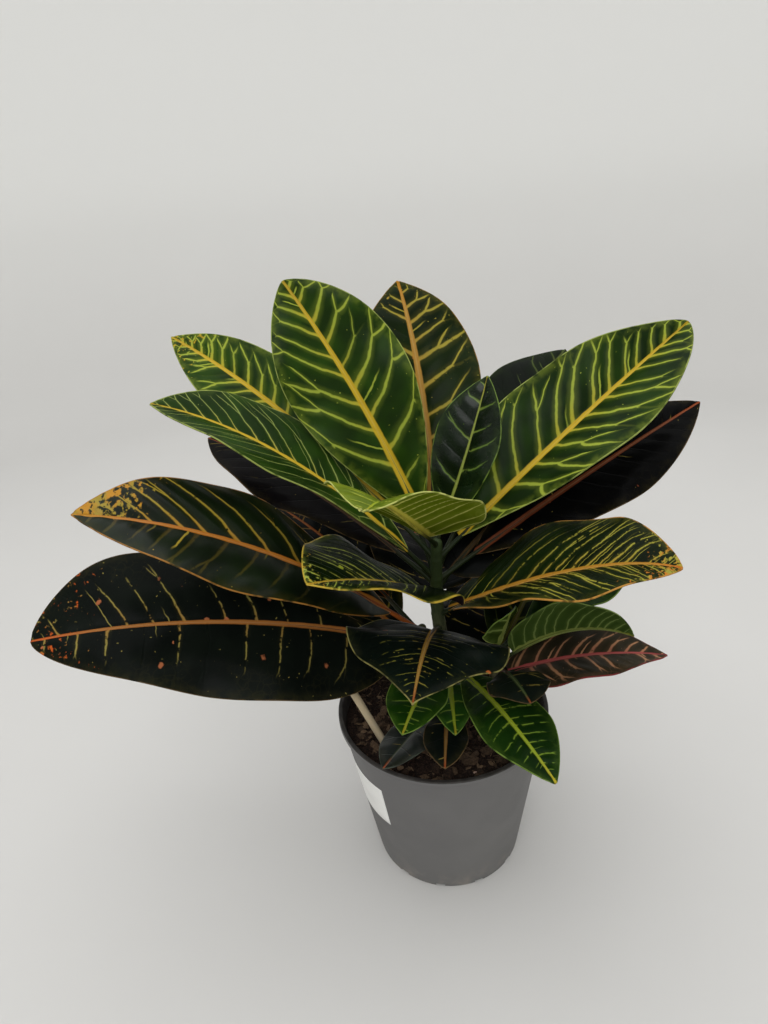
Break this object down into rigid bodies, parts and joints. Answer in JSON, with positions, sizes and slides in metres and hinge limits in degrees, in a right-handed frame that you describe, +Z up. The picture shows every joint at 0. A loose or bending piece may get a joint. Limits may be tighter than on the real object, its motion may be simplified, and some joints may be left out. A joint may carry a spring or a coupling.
{
  "type": "potted croton",
  "caption": "Croton house plant: broad, waved, vein-painted leathery leaves on woody stems, in soil in a tapered plastic nursery pot with a blank label and a thin wooden cane.",
  "frame": {"origin": "middle of the flat centre of the pot's underside, which stands on the floor", "axes": "+Z up through the pot; -Y is the plant's front, as pictured; +X is its right"},
  "size_m": [0.5364, 0.3048, 0.4994],
  "materials": {
    "pot_plastic": "matte",
    "soil": "rough",
    "label_film": "satin",
    "cane_wood": "bare",
    "stem_bark": "rough",
    "leaf_bud": "glossy",
    "leaf_young": "satin",
    "leaf_gold": "glossy",
    "leaf_amber": "glossy",
    "leaf_dark": "glossy",
    "leaf_red": "glossy"
  },
  "bodies": {
    "root": {"pot": "pot_plastic", "soil": "soil", "label": "label_film", "cane": "cane_wood", "stem_main": "stem_bark", "stem_left": "stem_bark", "stem_right": "stem_bark", "leaf_crown_left": "leaf_gold", "leaf_crown_back": "leaf_amber", "leaf_crown_small": "leaf_bud", "leaf_crown_right": "leaf_gold", "leaf_crown_front": "leaf_young", "leaf_upper_left": "leaf_gold", "leaf_upper_right": "leaf_dark", "leaf_upper_back_right": "leaf_amber", "leaf_middle_left": "leaf_gold", "leaf_shaded_left": "leaf_dark", "leaf_middle_front_left": "leaf_amber", "leaf_middle_front_right": "leaf_amber", "leaf_middle_back_right": "leaf_dark", "leaf_back_high": "leaf_amber", "leaf_back_middle": "leaf_dark", "leaf_lower_front": "leaf_dark", "leaf_hanging_right": "leaf_gold", "leaf_low_green_left": "leaf_gold", "leaf_low_green_front": "leaf_young", "leaf_soil_front": "leaf_dark", "leaf_soil_left": "leaf_dark", "leaf_broad_left": "leaf_amber", "leaf_lowest_left": "leaf_dark", "leaf_back_left": "leaf_dark", "leaf_low_back_left": "leaf_amber", "leaf_middle_right": "leaf_gold", "leaf_olive_right": "leaf_young", "leaf_red_right": "leaf_red", "leaf_small_olive": "leaf_young", "leaf_low_back_right": "leaf_amber", "leaf_low_back": "leaf_dark", "leaf_small_dark_right": "leaf_dark"}
  },
  "joints": []
}
